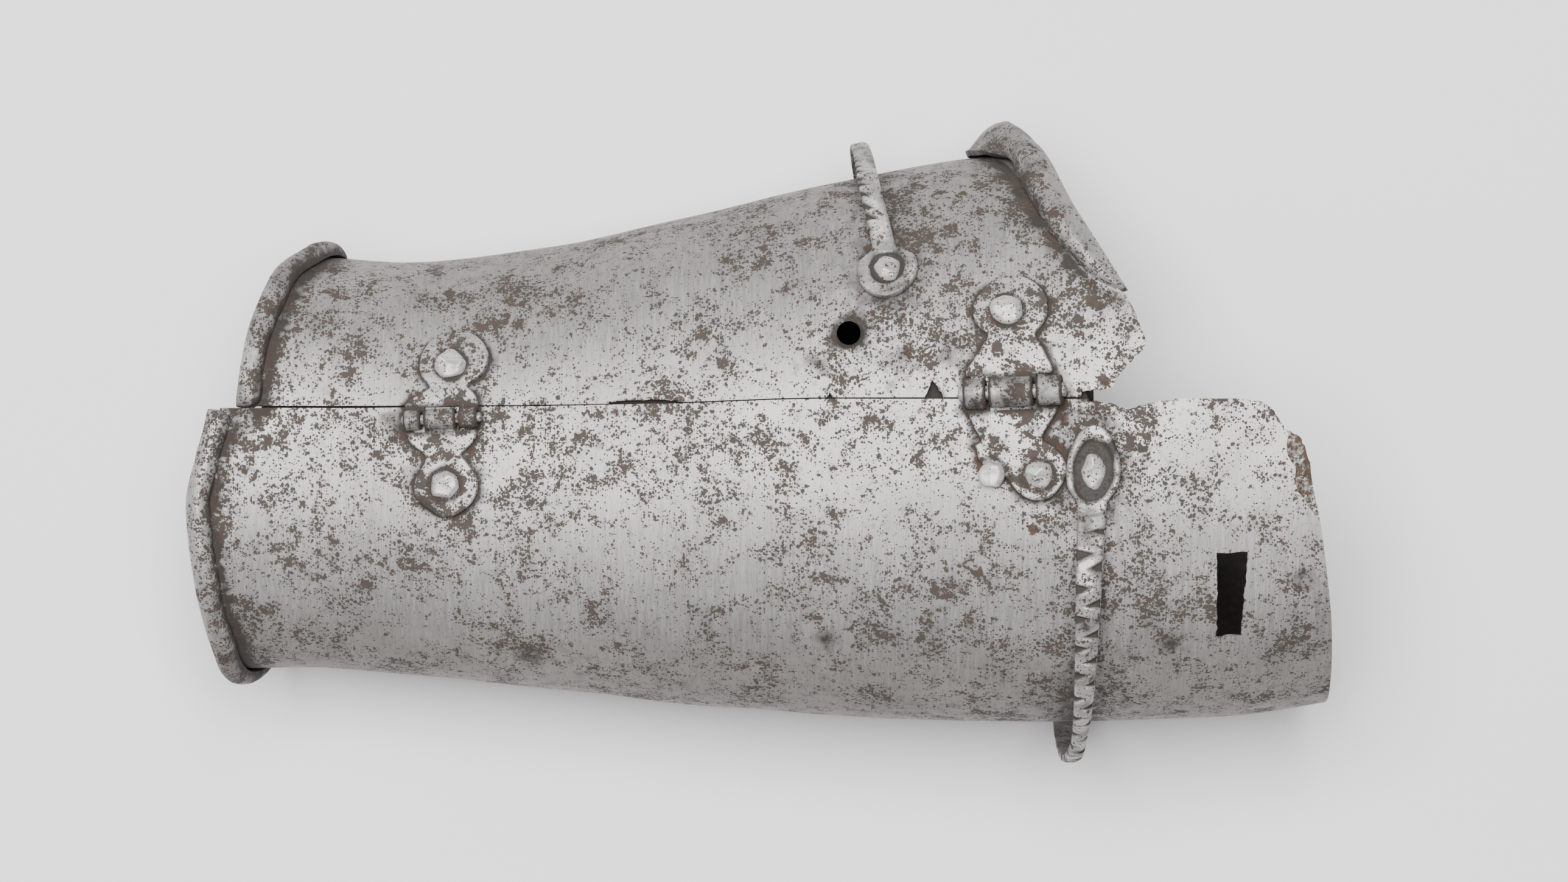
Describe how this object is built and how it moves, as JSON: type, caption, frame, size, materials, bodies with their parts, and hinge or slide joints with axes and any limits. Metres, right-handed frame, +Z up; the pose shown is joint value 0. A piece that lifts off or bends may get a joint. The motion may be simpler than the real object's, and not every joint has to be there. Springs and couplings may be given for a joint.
{
  "type": "forearm armour, lower cannon of a vambrace",
  "caption": "Forearm armour of hinged steel half shells with turned edges, riveted hinges and notched strap loops.",
  "frame": {"origin": "middle of the armour's box in plan, on the surface that it lies on", "axes": "+X from wrist to elbow, +Y towards the inner plate, +Z up, the hinge side being on top"},
  "size_m": [0.2386, 0.132, 0.0999],
  "materials": {
    "plate_steel": "worn, finely brushed and pitted",
    "hinge_steel": "worn, pitted, rust in the corners",
    "rivet_steel": "hammered and rubbed bright",
    "loop_steel": "filed notches, dark in the cuts"
  },
  "bodies": {
    "outer_half": {"outer_plate": "plate_steel", "small_hinge_outer_leaf": "hinge_steel", "small_hinge_pin": "hinge_steel", "small_hinge_outer_rivet": "rivet_steel", "large_hinge_outer_leaf": "hinge_steel", "large_hinge_pin": "hinge_steel", "large_hinge_outer_rivet_1": "rivet_steel", "large_hinge_outer_rivet_2": "rivet_steel", "outer_strap_loop": "loop_steel", "outer_loop_rivet_1": "rivet_steel", "outer_loop_rivet_2": "rivet_steel"},
    "inner_half": {"inner_plate": "plate_steel", "small_hinge_inner_leaf": "hinge_steel", "small_hinge_inner_rivet": "rivet_steel", "large_hinge_inner_leaf": "hinge_steel", "large_hinge_inner_rivet": "rivet_steel", "inner_strap_loop": "loop_steel", "inner_loop_rivet_1": "rivet_steel", "inner_loop_rivet_2": "rivet_steel"}
  },
  "joints": [
    {"name": "plate_hinge", "type": "hinge", "parent": "outer_half", "child": "inner_half", "pos_m": [-0.06534, 0.0066, 0.0782], "axis": [0.9883, 0.0456, 0.1453], "range_deg": [0, 110]}
  ]
}
